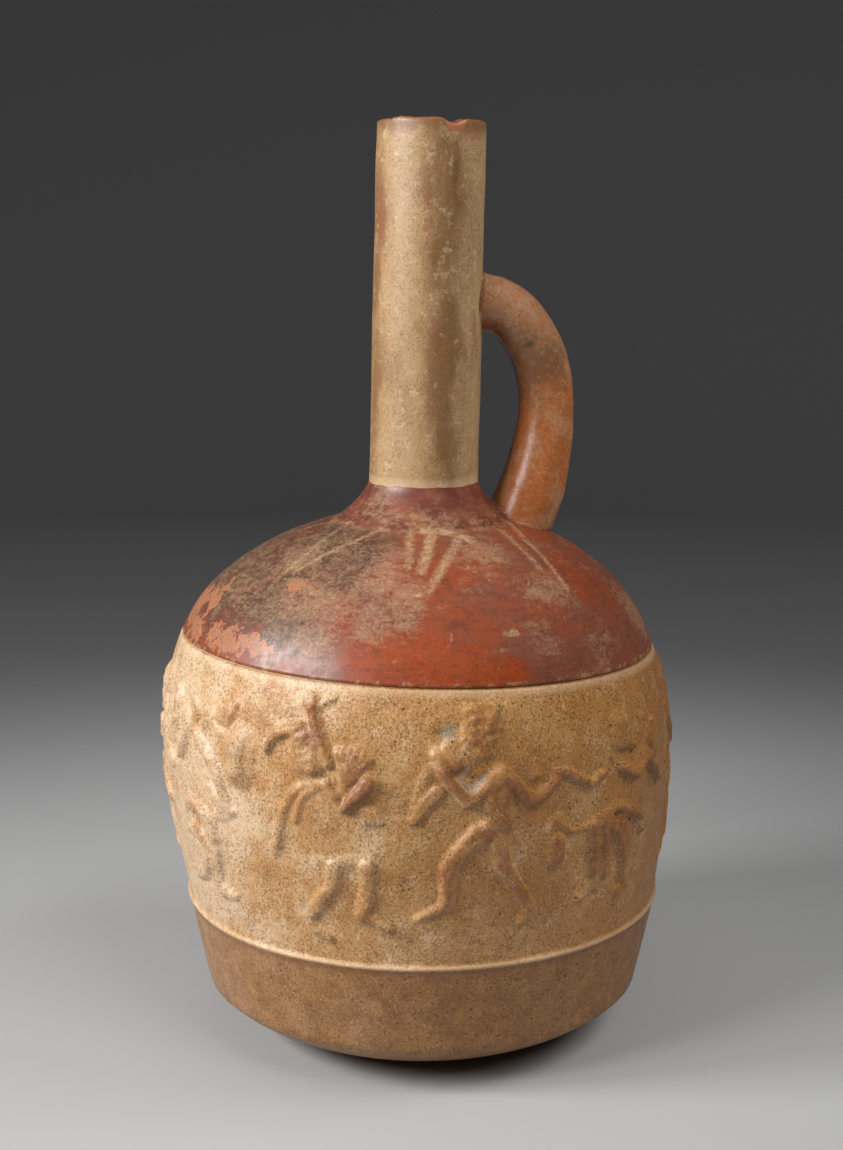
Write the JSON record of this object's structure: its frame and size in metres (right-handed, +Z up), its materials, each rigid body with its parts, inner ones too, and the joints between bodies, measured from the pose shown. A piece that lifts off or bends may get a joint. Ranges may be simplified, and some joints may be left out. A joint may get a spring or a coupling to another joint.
{
  "type": "handled spouted jug",
  "caption": "Hollow fired-clay jug with a domed body, one upright tubular spout, a curved tube handle and a moulded band of figures.",
  "frame": {"origin": "centre of the flat underside that the jug stands on", "axes": "+Z up along the spout, +X from the spout toward the handle, the front faces -Y"},
  "size_m": [0.1601, 0.1608, 0.2799],
  "materials": {
    "fired_clay": "burnished cream and red slip, worn"
  },
  "bodies": {
    "root": {"jug": "fired_clay"}
  },
  "joints": []
}
